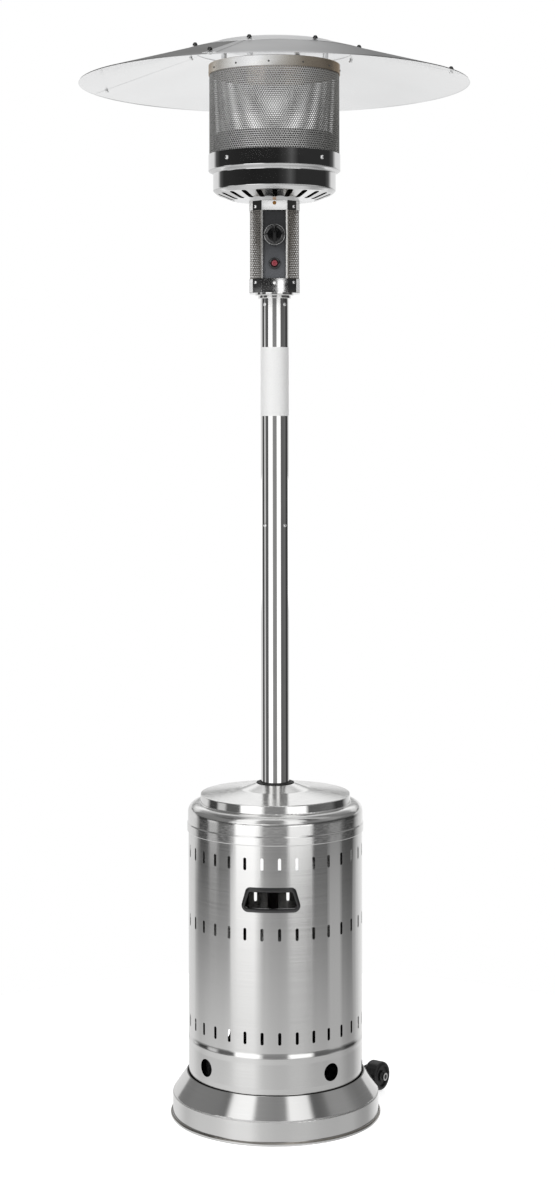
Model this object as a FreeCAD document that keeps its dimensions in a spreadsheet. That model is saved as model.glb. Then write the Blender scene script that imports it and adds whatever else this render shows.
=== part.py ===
import FreeCAD, Part
import math
import os
import re
import Sketcher
from FreeCAD import Vector, Placement, Rotation

# A free-standing radiant heater: round base, lift-up cylinder housing, pole, control head,
# burner with a round emitter screen, and a four-panel reflector.  Millimetres, +Z up, front is -Y.
os.makedirs("parts", exist_ok=True)
doc = FreeCAD.newDocument("RadiantHeater")
sheet = doc.addObject("Spreadsheet::Sheet", "Dims")

CELLS = [
    # base cover, plate and wheels
    ("bead_r", 224.5), ("bead_high", 9), ("bead_flat_r", 214), ("base_r", 220), ("base_skin", 1.2),
    ("base_wall_top", 50), ("base_top", 92), ("base_top_r", 190.4), ("recess_r", 188), ("ledge_z", 86),
    ("ledge_r", 170), ("plate_r", 217), ("plate_low", 1.5), ("plate_top", 6.5),
    ("axle_dist", 240), ("axle_z", 35.5), ("axle_r", 5), ("axle_half", 125), ("wheel_r", 31),
    ("wheel_wide", 34), ("wheel_mid", 104), ("wheel_turn", -35), ("bracket_half", 80), ("bracket_thick", 3),
    ("bracket_low", 18), ("bracket_top", 54), ("bolt_r", 3), ("bolt_hole_r", 3.3),
    # legs, flange, pole
    ("leg_out", 167), ("leg_thick", 8), ("leg_wide", 14), ("leg_bend", 562), ("flange_low", 640),
    ("flange_thick", 6), ("flange_r", 76), ("pole_r", 30), ("pole_wall", 1.5), ("pole_joint", 1267),
    ("pole_top", 1743), ("socket_r", 34.5), ("socket_top", 686), ("screw_hole_r", 2.2), ("screw_r", 2),
    ("label_low", 1492), ("label_top", 1639), ("label_film", 0.2),
    # housing
    ("shell_r", 186), ("shell_skin", 0.8), ("shell_low", 86.3), ("shell_top", 630), ("rib_z", 167),
    ("slot_high", 26), ("slot_wide", 6.6), ("slot_a", 209), ("slot_b", 423), ("slot_c", 568),
    ("slot_count", 32), ("port_r", 18.5), ("port_z", 129), ("lid_low", 606), ("lid_skirt", 187.05),
    ("lid_shoulder", 666), ("lid_step_r", 160), ("lid_step_z", 684), ("lid_cone_r", 75), ("lid_cone_z", 694),
    ("lid_neck_r", 39.9), ("lid_neck_z", 706), ("lid_skin", 0.9), ("grip_low", 469), ("grip_top", 521),
    ("grip_low_half", 61), ("grip_top_half", 50.5),
    # control head
    ("ctl_half", 53.5), ("ctl_flat", 28.5), ("ctl_low", 1754), ("ctl_low_top", 1784), ("ctl_top_low", 1929),
    ("ctl_top", 1950), ("ctl_skin", 1), ("panel_front", 47.5), ("panel_thick", 1.5), ("knob_z", 1876.5),
    ("knob_r", 22.8), ("stem_r", 4), ("igniter_z", 1816), ("button_r", 6.2), ("collar_r", 35),
    # burner
    ("bowl_low", 1950), ("bowl_flat_r", 62), ("bowl_r", 131.5), ("bowl_wall_low", 1972.7), ("bowl_wall_top", 2010.7),
    ("band_r", 141.5), ("band_low", 2020.7), ("band_top", 2050.7), ("band_drill_z", 2035), ("bowl_skin", 0.9), ("bowl_hole_r", 26),
    ("bowl_slots", 22), ("screen_r", 139.5), ("screen_low", 2024), ("screen_top", 2242), ("screen_skin", 0.8),
    ("ring_r", 141.2), ("ring_low", 2222), ("ring_top", 2244), ("cup_r", 126), ("cup_top", 2094),
    # reflector
    ("rim_r", 418.7), ("rim_low", 2201), ("rim_z", 2203), ("cone_in_r", 172), ("cone_in_z", 2273.5),
    ("sheet_skin", 0.8), ("cap_brim_r", 205), ("cap_crown_r", 136), ("cap_edge_z", 2285.5), ("cap_mid_z", 2287),
    ("stud_ring", 120), ("stud_r", 3), ("cap_nut_ring", 187), ("seam_nut_ring", 390),
]
for i, (alias, value) in enumerate(CELLS):
    sheet.set("A%d" % (i + 1), alias)
    sheet.set("B%d" % (i + 1), repr(float(value)))
    sheet.setAlias("B%d" % (i + 1), alias)
doc.recompute()

WORD = re.compile(r"[a-z_][a-z_0-9]*")


def full(e):
    """The expression text of a size, with every word pointing at its cell."""
    if isinstance(e, (int, float)):
        return repr(float(e))
    return WORD.sub(lambda m: "Dims." + m.group(0), e)


def num(e):
    if isinstance(e, (int, float)):
        return float(e)
    v = sheet.evalExpression(full(e))
    return float(getattr(v, "Value", v))


NODES = []


def body(label, turn=0.0, node=True):
    b = doc.addObject("PartDesign::Body", "B_" + label)
    b.Label = label
    b.AllowCompound = True
    b.Placement = Placement(Vector(0, 0, 0), Rotation(Vector(0, 0, 1), turn))
    if node:
        NODES.append(b)
    return b


def role(b, name):
    return [f for f in b.Origin.OriginFeatures if f.Role == name][0]


def attach(b, name, plane, offset=None):
    sk = b.newObject("Sketcher::SketchObject", name)
    sk.AttachmentSupport = [(role(b, plane), "")]
    sk.MapMode = "FlatFace"
    if offset is not None:
        sk.AttachmentOffset = Placement(Vector(0, 0, num(offset)), Rotation())
        sk.setExpression("AttachmentOffset.Base.z", full(offset))
    return sk


def fix(sk, geo, pos, x, y):
    """Ties a point to the origin with sizes bound to the sheet."""
    for kind, e, axis in (("DistanceX", x, -2), ("DistanceY", y, -1)):
        v = num(e)
        if abs(v) < 1e-9:
            sk.addConstraint(Sketcher.Constraint("PointOnObject", geo, pos, axis))
        elif v > 0:
            k = sk.addConstraint(Sketcher.Constraint(kind, -1, 1, geo, pos, v))
            sk.setExpression("Constraints[%d]" % k, full(e))
        else:
            k = sk.addConstraint(Sketcher.Constraint(kind, geo, pos, -1, 1, -v))
            sk.setExpression("Constraints[%d]" % k, "-(" + full(e) + ")")


def loop(sk, pts):
    """A closed outline of lines, with a rounding where a point has a third value."""
    n = len(pts)
    xy = [Vector(num(p[0]), num(p[1]), 0) for p in pts]
    first, last, rounds = [], [], []
    for i in range(n):
        rad = num(pts[i][2]) if len(pts[i]) > 2 else 0.0
        if rad <= 0:
            first.append(xy[i]); last.append(xy[i]); rounds.append(None)
            continue
        a = (xy[i - 1] - xy[i]).normalize()
        c = (xy[(i + 1) % n] - xy[i]).normalize()
        half = math.acos(max(-1, min(1, a.dot(c)))) / 2
        reach = rad / math.tan(half)
        mid = xy[i] + (a + c).normalize() * (rad / math.sin(half))
        first.append(xy[i] + a * reach); last.append(xy[i] + c * reach)
        rounds.append((mid, rad))
    lines = [sk.addGeometry(Part.LineSegment(last[i], first[(i + 1) % n]), False) for i in range(n)]
    for i in range(n):
        before, after = lines[i - 1], lines[i]
        if rounds[i] is None:
            sk.addConstraint(Sketcher.Constraint("Coincident", before, 2, after, 1))
            fix(sk, after, 1, pts[i][0], pts[i][1])
            continue
        mid, rad = rounds[i]
        a0 = math.atan2(first[i].y - mid.y, first[i].x - mid.x)
        a1 = math.atan2(last[i].y - mid.y, last[i].x - mid.x)
        ccw = ((a1 - a0) % (2 * math.pi)) < math.pi
        s, e = (a0, a1) if ccw else (a1, a0)
        if e < s:
            e += 2 * math.pi
        arc = sk.addGeometry(Part.ArcOfCircle(Part.Circle(mid, Vector(0, 0, 1), rad), s, e), False)
        pin = sk.addGeometry(Part.Point(xy[i]), True)
        sk.addConstraint(Sketcher.Constraint("Tangent", before, 2, arc, 1 if ccw else 2))
        sk.addConstraint(Sketcher.Constraint("Tangent", after, 1, arc, 2 if ccw else 1))
        sk.addConstraint(Sketcher.Constraint("PointOnObject", pin, 1, before))
        sk.addConstraint(Sketcher.Constraint("PointOnObject", pin, 1, after))
        fix(sk, pin, 1, pts[i][0], pts[i][1])
        k = sk.addConstraint(Sketcher.Constraint("Radius", arc, rad))
        sk.setExpression("Constraints[%d]" % k, full(pts[i][2]))
    return lines


def ring(sk, x, y, r):
    g = sk.addGeometry(Part.Circle(Vector(num(x), num(y), 0), Vector(0, 0, 1), num(r)), False)
    fix(sk, g, 3, x, y)
    k = sk.addConstraint(Sketcher.Constraint("Radius", g, num(r)))
    sk.setExpression("Constraints[%d]" % k, full(r))
    return g


def turned(b, tag, pts, angle=360.0, edge="V_Axis", mid=False, plane="XZ_Plane"):
    sk = attach(b, b.Name + "_" + tag, plane)
    loop(sk, pts)
    f = b.newObject("PartDesign::Revolution", b.Name + "_" + tag + "_turn")
    f.Profile = sk
    f.ReferenceAxis = (sk, [edge])
    f.Angle = angle
    f.Midplane = mid
    doc.recompute()
    return f


def raised(b, tag, outlines, length, plane="XY_Plane", offset=None, mid=False, back=False, holes=()):
    sk = attach(b, b.Name + "_" + tag, plane, offset)
    for pts in outlines:
        loop(sk, pts)
    for (x, y, r) in holes:
        ring(sk, x, y, r)
    f = b.newObject("PartDesign::Pad", b.Name + "_" + tag + "_pad")
    f.Profile = sk
    f.Length = num(length)
    f.setExpression("Length", full(length))
    f.Midplane = mid
    f.Reversed = back
    doc.recompute()
    return f


def cut(b, tag, outlines, length, plane="XY_Plane", offset=None, mid=False, back=False, holes=()):
    """A pocket; it stops the build when it takes nothing away."""
    was = b.Shape.Volume
    sk = attach(b, b.Name + "_" + tag, plane, offset)
    for pts in outlines:
        loop(sk, pts)
    for (x, y, r) in holes:
        ring(sk, x, y, r)
    f = b.newObject("PartDesign::Pocket", b.Name + "_" + tag + "_cut")
    f.Profile = sk
    f.Length = num(length)
    f.setExpression("Length", full(length))
    f.Midplane = mid
    f.Reversed = back
    doc.recompute()
    if was - b.Shape.Volume < 1e-3:
        raise RuntimeError("nothing cut: " + b.Label + " " + tag)
    return f


def around(b, feature, count):
    f = b.newObject("PartDesign::PolarPattern", feature.Name + "_around")
    f.Originals = [feature]
    f.Axis = (role(b, "Z_Axis"), [""])
    f.Angle = 360
    f.Occurrences = int(round(num(count)))
    f.setExpression("Occurrences", full(count))
    b.Tip = f
    doc.recompute()
    return f


def slot(x, z, wide, high):
    """An upright slot with round ends, as an outline."""
    w = "(%s) / 2" % wide
    return [("%s - %s" % (x, w), "%s - %s / 2" % (z, high), w + " * 0.98"), ("%s + %s" % (x, w), "%s - %s / 2" % (z, high), w + " * 0.98"),
            ("%s + %s" % (x, w), "%s + %s / 2" % (z, high), w + " * 0.98"), ("%s - %s" % (x, w), "%s + %s / 2" % (z, high), w + " * 0.98")]


def side_screws(b, tag, r, z, head_r, head_h, shank_r, shank, count):
    """Dome screws that point at the pole axis, evenly spaced."""
    f = turned(b, tag, [("%s - %s" % (r, shank), z), ("%s + %s" % (r, head_h), z),
                        ("%s + %s" % (r, head_h), "%s + %s * 0.45" % (z, head_r)),
                        ("%s + %s * 0.4" % (r, head_h), "%s + %s" % (z, head_r)),
                        (r, "%s + %s" % (z, head_r)), (r, "%s + %s" % (z, shank_r)),
                        ("%s - %s" % (r, shank), "%s + %s" % (z, shank_r))], edge="Edge1")
    return around(b, f, count) if count > 1 else f


def up_bolts(b, tag, r, low, top, head_r, head_h, shank_r, count, nut_r=None, nut_h=None, nut_z=None):
    """Upright bolts with the head on top, evenly spaced."""
    pts = [(r, low), (r, "%s + %s" % (top, head_h)), ("%s + %s * 0.6" % (r, head_r), "%s + %s" % (top, head_h)),
           ("%s + %s" % (r, head_r), "%s + %s * 0.5" % (top, head_h)), ("%s + %s" % (r, head_r), top),
           ("%s + %s" % (r, shank_r), top)]
    if nut_r:
        pts += [("%s + %s" % (r, shank_r), nut_z), ("%s + %s" % (r, nut_r), nut_z),
                ("%s + %s" % (r, nut_r), "%s - %s" % (nut_z, nut_h)), ("%s + %s" % (r, shank_r), "%s - %s" % (nut_z, nut_h))]
    pts += [("%s + %s" % (r, shank_r), low)]
    f = turned(b, tag, pts, edge="Edge1")
    return around(b, f, count)


TURN = num("wheel_turn")

# ---- base: spun cover with a rolled foot bead, a cone and a recessed ledge for the housing
b = body("base_cover", TURN)
turned(b, "skin", [("base_r", "bead_high - 4"), ("base_r", "base_wall_top", 8), ("base_top_r", "base_top"), ("recess_r", "base_top"),
                   ("recess_r", "ledge_z"), ("ledge_r", "ledge_z"), ("ledge_r", "ledge_z - base_skin"),
                   ("recess_r + base_skin", "ledge_z - base_skin"), ("recess_r + base_skin", "base_top - base_skin"),
                   ("base_top_r - 0.5", "base_top - base_skin"), ("base_r - base_skin", "base_wall_top - 0.5", 7),
                   ("base_r - base_skin", "bead_high - 4")])
turned(b, "bead", [("bead_flat_r", 0), ("bead_r", 0, 3.6), ("bead_r", "bead_high", 3.6), ("base_r - base_skin", "bead_high"),
                   ("base_r - base_skin", "plate_low"), ("bead_flat_r", "plate_low")])
cut(b, "bolt_holes", [], "base_r + 20", plane="XZ_Plane", holes=[(-20, "axle_z - 10", "bolt_hole_r"), (20, "axle_z - 10", "bolt_hole_r")])

LEGS = 0.9
b = body("base_plate")
turned(b, "disc", [(0, "plate_low"), ("plate_r", "plate_low"), ("plate_r", "plate_top"), (0, "plate_top")])
f = cut(b, "bolt", [], 20, mid=True, holes=[(0, 140, "bolt_hole_r")])
around(b, f, 3)
b.Placement = Placement(Vector(0, 0, 0), Rotation(Vector(0, 0, 1), LEGS))

# ---- three bar legs from the base plate to the post flange, one at the back and two beside the front
for k in range(3):
    b = body("support_leg_%d" % (k + 1), 120.0 * k + LEGS)
    raised(b, "strap", [[(128, "plate_top"), ("leg_out", "plate_top", 8), ("leg_out", "leg_bend", 14), (78, "flange_low", 14), (42, "flange_low"),
                         (42, "flange_low - leg_thick"), ("78 - leg_thick * 0.39", "flange_low - leg_thick", 10), ("leg_out - leg_thick", "leg_bend - leg_thick * 0.45", 10),
                         ("leg_out - leg_thick", "plate_top + leg_thick", 4), (128, "plate_top + leg_thick")]], "leg_wide", plane="YZ_Plane", mid=True)
    cut(b, "foot_hole", [], 40, mid=True, holes=[(0, 140, "bolt_hole_r")])
    cut(b, "top_hole", [], 20, offset="flange_low - 2", mid=True, holes=[(0, 58, "bolt_hole_r")])

b = body("leg_bolts", 0.0)
up_bolts(b, "foot", "140", "plate_low - 1", "plate_top + leg_thick", "5.5", "4", "bolt_r", 3)
up_bolts(b, "top", "58", "flange_low - leg_thick - 8", "flange_low + flange_thick", "5.5", "4", "bolt_r", 3, "5.5", "5", "flange_low - leg_thick")
b.Placement = Placement(Vector(0, 0, 0), Rotation(Vector(0, 0, 1), LEGS - 30))

b = body("post_flange", LEGS - 30)
turned(b, "plate", [(22, "flange_low"), ("flange_r", "flange_low"), ("flange_r", "flange_low + flange_thick"), ("socket_r", "flange_low + flange_thick"),
                    ("socket_r", "socket_top"), ("pole_r + 0.1", "socket_top"), ("pole_r + 0.1", "flange_low + flange_thick"), (22, "flange_low + flange_thick")])
f = cut(b, "bolt", [], 30, offset="flange_low", mid=True, holes=[(58, 0, "bolt_hole_r")])
around(b, f, 3)
f = cut(b, "pin", [], "socket_r + 5", plane="YZ_Plane", holes=[(0, "socket_top - 18", "screw_hole_r")], back=True)
f.Profile[0].AttachmentOffset = Placement(Vector(0, 0, 0), Rotation(Vector(0, 1, 0), -15 - LEGS))
doc.recompute()
around(b, f, 4)

# ---- two-piece pole on an inner coupler
for label, low, top, drills in (("pole_lower", "flange_low + flange_thick", "pole_joint", ("socket_top - 18", "pole_joint - 9")),
                                ("pole_upper", "pole_joint", "pole_top", ("pole_top - 13",))):
    b = body(label, 45.0)
    turned(b, "tube", [("pole_r - pole_wall", low), ("pole_r", low), ("pole_r", top), ("pole_r - pole_wall", top)])
    for j, z in enumerate(drills):
        f = cut(b, "drill%d" % j, [], "pole_r + 5", plane="YZ_Plane", holes=[(0, z, "screw_hole_r")], back=True)
        around(b, f, 4)
b = body("pole_coupler", 45.0)
turned(b, "sleeve", [("pole_r - pole_wall - 1.9", "pole_joint - 60"), ("pole_r - pole_wall - 0.1", "pole_joint - 60"),
                     ("pole_r - pole_wall - 0.1", "pole_joint + 60"), ("pole_r - pole_wall - 1.9", "pole_joint + 60")])
f = cut(b, "drill", [], "pole_r + 5", plane="YZ_Plane", holes=[(0, "pole_joint - 9", "screw_hole_r")], back=True)
around(b, f, 4)

b = body("pole_label", 0.0)
turned(b, "film", [("pole_r", "label_low"), ("pole_r + label_film", "label_low"), ("pole_r + label_film", "label_top"), ("pole_r", "label_top")], angle=300)
b.Placement = Placement(Vector(0, 0, 0), Rotation(Vector(0, 0, 1), -240))

# ---- wheel set: channel bracket on the base wall, axle and two wheels
b = body("wheel_bracket", TURN)
raised(b, "channel", [[("-bracket_half", "base_r + 1"), ("bracket_half", "base_r + 1"), ("bracket_half", "axle_dist + 12"),
                       ("bracket_half - bracket_thick", "axle_dist + 12"), ("bracket_half - bracket_thick", "base_r + 1 + bracket_thick"),
                       ("bracket_thick - bracket_half", "base_r + 1 + bracket_thick"), ("bracket_thick - bracket_half", "axle_dist + 12"),
                       ("-bracket_half", "axle_dist + 12")]], "bracket_top - bracket_low", offset="bracket_low")
cut(b, "axle", [], "bracket_half * 2 + 20", plane="YZ_Plane", mid=True, holes=[("axle_dist", "axle_z", "axle_r + 0.1")])
cut(b, "bolts", [], "base_r + 20", plane="XZ_Plane", holes=[(-20, "axle_z - 10", "bolt_hole_r"), (20, "axle_z - 10", "bolt_hole_r")])

b = body("bracket_bolts", TURN)
for x in (-20, 20):
    sk = attach(b, b.Name + "_s%d" % (x + 20), "XZ_Plane", "-(base_r - 9)")
    ring(sk, x, "axle_z - 10", "bolt_r")
    f = b.newObject("PartDesign::Pad", b.Name + "_p%d" % (x + 20))
    f.Profile = sk
    f.Length = 15
    f.Reversed = True
    doc.recompute()
    for tag, off, thick in (("nut", "-(base_r - 8)", 5), ("head", "-(base_r + 1 + bracket_thick)", 4)):
        sk = attach(b, b.Name + "_%s%d" % (tag, x + 20), "XZ_Plane", off)
        ring(sk, x, "axle_z - 10", 5.5)
        f = b.newObject("PartDesign::Pad", b.Name + "_%sp%d" % (tag, x + 20))
        f.Profile = sk
        f.Length = thick
        f.Reversed = True
        doc.recompute()
b = body("wheel_axle", TURN)
raised(b, "rod", [], "axle_half * 2", plane="YZ_Plane", mid=True, holes=[("axle_dist", "axle_z", "axle_r")])

b = body("axle_nuts", TURN)
for tag, sign in (("right", "wheel_mid + wheel_wide / 2 + 0.5"), ("left", "-(wheel_mid + wheel_wide / 2 + 0.5)")):
    sk = attach(b, b.Name + "_" + tag, "YZ_Plane", sign)
    ring(sk, "axle_dist", "axle_z", 8.5)
    ring(sk, "axle_dist", "axle_z", "axle_r + 0.05")
    f = b.newObject("PartDesign::Pad", b.Name + "_" + tag + "_pad")
    f.Profile = sk
    f.Length = 6
    f.Reversed = tag == "left"
    doc.recompute()

for label, sign in (("wheel_right", 1), ("wheel_left", -1)):
    b = body(label)
    turned(b, "tyre", [("axle_r + 0.06", "-wheel_wide / 2 + 1"), (12, "-wheel_wide / 2 + 1"), (12, "-wheel_wide / 2 + 6"), (21, "-wheel_wide / 2 + 6"), (22.5, "-wheel_wide / 2"),
                       ("wheel_r", "-wheel_wide / 2", 6), ("wheel_r", "wheel_wide / 2", 6), (22.5, "wheel_wide / 2"),
                       (21, "wheel_wide / 2 - 4"), (12, "wheel_wide / 2 - 4"), (12, "wheel_wide / 2"), ("axle_r + 0.06", "wheel_wide / 2")])
    turn = Rotation(Vector(0, 0, 1), TURN)
    at = turn.multVec(Vector(sign * num("wheel_mid"), num("axle_dist"), num("axle_z")))
    b.Placement = Placement(at, turn.multiply(Rotation(Vector(0, 1, 0), 90.0 * sign)))

# ---- lift-up housing: slotted shell, stepped lid, finger handles
b = body("housing_shell", -3.0)
turned(b, "skin", [("shell_r - shell_skin - 1", "shell_low"), ("shell_r - 1", "shell_low"), ("shell_r", "shell_low + 19"), ("shell_r", "rib_z - 8", 50), ("shell_r + 1.2", "rib_z", 25),
                   ("shell_r", "rib_z + 8", 50), ("shell_r", "shell_top"), ("shell_r - shell_skin", "shell_top"),
                   ("shell_r - shell_skin", "rib_z + 8", 50), ("shell_r + 1.2 - shell_skin", "rib_z", 25),
                   ("shell_r - shell_skin", "rib_z - 8", 50), ("shell_r - shell_skin", "shell_low + 19")])
GRIP = [("-grip_low_half + 2.5", "grip_low + 2.5", 10.5), ("grip_low_half - 2.5", "grip_low + 2.5", 10.5), ("grip_top_half - 2.5", "grip_top - 2.5", 9), ("-grip_top_half + 2.5", "grip_top - 2.5", 9)]
cut(b, "grips", [GRIP], "shell_r * 2 + 40", plane="XZ_Plane", mid=True)
sk = attach(b, "slot_rows", "XZ_Plane")
for z in ("slot_a", "slot_b", "slot_c"):
    loop(sk, slot("0", z, "slot_wide", "slot_high"))
sk.AttachmentOffset = Placement(Vector(0, 0, 0), Rotation(Vector(0, 1, 0), 5.625))
f = b.newObject("PartDesign::Pocket", "slot_rows_cut")
f.Profile = sk
f.Length = num("shell_r + 20")
f.Reversed = True
doc.recompute()
around(b, f, "slot_count")
sk = attach(b, "port_row", "XZ_Plane")
ring(sk, 0, "port_z", "port_r")
sk.AttachmentOffset = Placement(Vector(0, 0, 0), Rotation(Vector(0, 1, 0), 41.5))
f = b.newObject("PartDesign::Pocket", "port_row_cut")
f.Profile = sk
f.Length = num("shell_r + 20")
f.Reversed = True
doc.recompute()
around(b, f, 4)

b = body("housing_lid")
turned(b, "skin", [("lid_skirt - lid_skin", "lid_low"), ("lid_skirt + 1.7", "lid_low", 1.7), ("lid_skirt + 1.7", "lid_low + 17", 2), ("lid_skirt", "lid_low + 20", 2),
                   ("lid_skirt", "lid_shoulder", 20), ("lid_step_r + 1.2", "lid_shoulder", 2), ("lid_step_r", "lid_step_z", 1.9), ("lid_cone_r", "lid_cone_z", 20), ("lid_neck_r", "lid_neck_z"),
                   ("lid_neck_r - lid_skin", "lid_neck_z - 0.5"), ("lid_cone_r - 0.2", "lid_cone_z - lid_skin", 20.5), ("lid_step_r - 0.85", "lid_step_z - lid_skin", 1),
                   ("lid_step_r + 0.3", "lid_shoulder - lid_skin", 2.9), ("lid_skirt - lid_skin", "lid_shoulder - lid_skin", 19.1)])

for label, turn in (("handle_front", -3.0), ("handle_rear", 177.0)):
    # a curved plastic frame: a flange outside the shell and a neck through its opening
    inner = [("-grip_low_half + 5.5", "grip_low + 10.5", 5.5), ("grip_low_half - 5.5", "grip_low + 10.5", 5.5), ("grip_top_half - 6", "grip_top - 10", 4.5), ("-grip_top_half + 6", "grip_top - 10", 4.5)]
    outer = [("-grip_low_half", "grip_low", 13), ("grip_low_half", "grip_low", 13), ("grip_top_half", "grip_top", 11), ("-grip_top_half", "grip_top", 11)]
    neck = [("-grip_low_half + 2.8", "grip_low + 2.8", 10.2), ("grip_low_half - 2.8", "grip_low + 2.8", 10.2), ("grip_top_half - 2.8", "grip_top - 2.8", 8.7), ("-grip_top_half + 2.8", "grip_top - 2.8", 8.7)]
    shapes = []
    for tag, outline, r0, r1 in (("flange", outer, "shell_r + 0.1", "shell_r + 3.6"), ("neck", neck, "shell_r - 7", "shell_r + 2")):
        frame = body(label + "_" + tag, 0.0, node=False)
        raised(frame, "frame", [outline, inner], "shell_r + 20", plane="XZ_Plane")
        tube = body(label + "_" + tag + "_band", 0.0, node=False)
        turned(tube, "band", [(r0, "grip_low - 20"), (r1, "grip_low - 20"), (r1, "grip_top + 20"), (r0, "grip_top + 20")])
        common = doc.addObject("Part::Common", label + "_" + tag + "_common")
        common.Base = frame
        common.Tool = tube
        shapes.append(common)
    fuse = doc.addObject("Part::MultiFuse", label)
    fuse.Label = label
    fuse.Shapes = shapes
    fuse.Refine = True
    fuse.Placement = Placement(Vector(0, 0, 0), Rotation(Vector(0, 0, 1), turn))
    doc.recompute()
    NODES.append(fuse)

b = body("pole_grommet")
turned(b, "ring", [("pole_r + 0.5", "lid_neck_z - 7"), ("lid_neck_r - lid_skin - 0.1", "lid_neck_z - 7"), ("lid_neck_r - lid_skin - 0.1", "lid_neck_z + 0.2"),
                   ("lid_neck_r + 0.6", "lid_neck_z + 0.2"), ("lid_neck_r + 0.6", "lid_neck_z + 1.6", 1), ("pole_r + 0.5", "lid_neck_z + 1.6", 0.8)])

# ---- control head: collar, octagonal caps, guard with an open front, recessed panel
b = body("control_collar", 45.0)
turned(b, "spigot", [("pole_r - pole_wall - 2", "pole_top - 40"), ("pole_r - pole_wall - 0.1", "pole_top - 40"), ("pole_r - pole_wall - 0.1", "pole_top"), ("collar_r", "pole_top", 1.5),
                     ("collar_r", "ctl_low - 4", 1), ("collar_r + 6", "ctl_low - 4", 1), ("collar_r + 6", "ctl_low"), ("pole_r - pole_wall - 2", "ctl_low")])
f = cut(b, "drill", [], "pole_r + 5", plane="YZ_Plane", holes=[(0, "pole_top - 13", "screw_hole_r")], back=True)
around(b, f, 4)

b = body("pole_screws", 45.0)
side_screws(b, "joint", "pole_r", "pole_joint - 9", "3.6", "2", "screw_r", "5", 4)
side_screws(b, "low", "socket_r", "socket_top - 18", "3.6", "2", "screw_r", "8", 4)
b = body("pole_top_screws", 45.0)
side_screws(b, "top", "pole_r", "pole_top - 13", "3.6", "2", "screw_r", "5", 4)


def eight(half, flat, rad):
    """A square with cut corners, in plan."""
    h, f = half, flat
    n, g = "-(%s)" % half, "-(%s)" % flat
    return [(g, n, rad), (f, n, rad), (h, g, rad), (h, f, rad), (f, h, rad), (g, h, rad), (n, f, rad), (n, g, rad)]


b = body("control_bottom_cap")
raised(b, "block", [eight("ctl_half", "ctl_flat", 3)], "ctl_low_top - ctl_low", offset="ctl_low", holes=[(0, 0, 26)])
cut(b, "inside", [eight("ctl_half - ctl_skin", "ctl_flat - 0.4", 2)], "ctl_low_top - ctl_low - 1.2", offset="ctl_low + 1.2", back=True)
b = body("control_top_cap")
raised(b, "block", [eight("ctl_half", "ctl_flat", 3)], "ctl_top - ctl_top_low", offset="ctl_top_low", holes=[(0, 0, "bowl_hole_r")])
cut(b, "inside", [eight("ctl_half - ctl_skin", "ctl_flat - 0.4", 2)], "ctl_top - ctl_top_low - 1.2", offset="ctl_top - 1.2")
cut(b, "plug", [], 120, plane="XZ_Plane", holes=[(0, "ctl_top - 6", 3.1)], back=True)

b = body("control_guard")
raised(b, "sheet", [[("-24", "-(panel_front + 0.2)"), ("-24", "-(ctl_half - 1.2)"), ("-ctl_flat + 0.5", "-(ctl_half - 1.2)"), ("-(ctl_half - 1.2)", "-ctl_flat + 0.5"),
                     ("-(ctl_half - 1.2)", "ctl_flat - 0.5"), ("-ctl_flat + 0.5", "ctl_half - 1.2"), ("ctl_flat - 0.5", "ctl_half - 1.2"),
                     ("ctl_half - 1.2", "ctl_flat - 0.5"), ("ctl_half - 1.2", "-ctl_flat + 0.5"), ("ctl_flat - 0.5", "-(ctl_half - 1.2)"), ("24", "-(ctl_half - 1.2)"),
                     ("24", "-(panel_front + 0.2)"), ("24.8", "-(panel_front + 0.2)"), ("24.8", "-(ctl_half - 2)"), ("ctl_flat - 0.83", "-(ctl_half - 2)"),
                     ("ctl_half - 2", "-ctl_flat + 0.83"), ("ctl_half - 2", "ctl_flat - 0.83"), ("ctl_flat - 0.83", "ctl_half - 2"), ("-ctl_flat + 0.83", "ctl_half - 2"),
                     ("-(ctl_half - 2)", "ctl_flat - 0.83"), ("-(ctl_half - 2)", "-ctl_flat + 0.83"), ("-ctl_flat + 0.83", "-(ctl_half - 2)"), ("-24.8", "-(ctl_half - 2)"),
                     ("-24.8", "-(panel_front + 0.2)")]], "ctl_top_low - ctl_low_top + 24", offset="ctl_low_top - 14")

b = body("control_panel")
raised(b, "plate", [[(-27, "ctl_low_top - 14"), (27, "ctl_low_top - 14"), (27, "ctl_top_low + 10"), (-27, "ctl_top_low + 10")]], "panel_thick", plane="XZ_Plane",
       offset="panel_front - panel_thick", holes=[(0, "knob_z", "stem_r + 0.6"), (0, "igniter_z", 7.4)])

b = body("sight_plug")
raised(b, "pin", [], 8, plane="XZ_Plane", offset="ctl_half - 7", holes=[(0, "ctl_top - 6", 3)])
raised(b, "head", [], 1.6, plane="XZ_Plane", offset="ctl_half + 0.05", holes=[(0, "ctl_top - 6", 4)])

b = body("control_screws", 45.0)
side_screws(b, "low", "58.05", "ctl_low_top - 8", "3.2", "1.8", "screw_r", "5", 4)
side_screws(b, "top", "58.05", "ctl_top_low + 8", "3.2", "1.8", "screw_r", "5", 4)
f = side_screws(b, "front", "ctl_half + 0.05", "ctl_low + 20", "3.4", "1.9", "screw_r", "4.5", 1)
f.Profile[0].AttachmentOffset = Placement(Vector(0, 0, 0), Rotation(Vector(0, 1, 0), -135))
doc.recompute()

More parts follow.
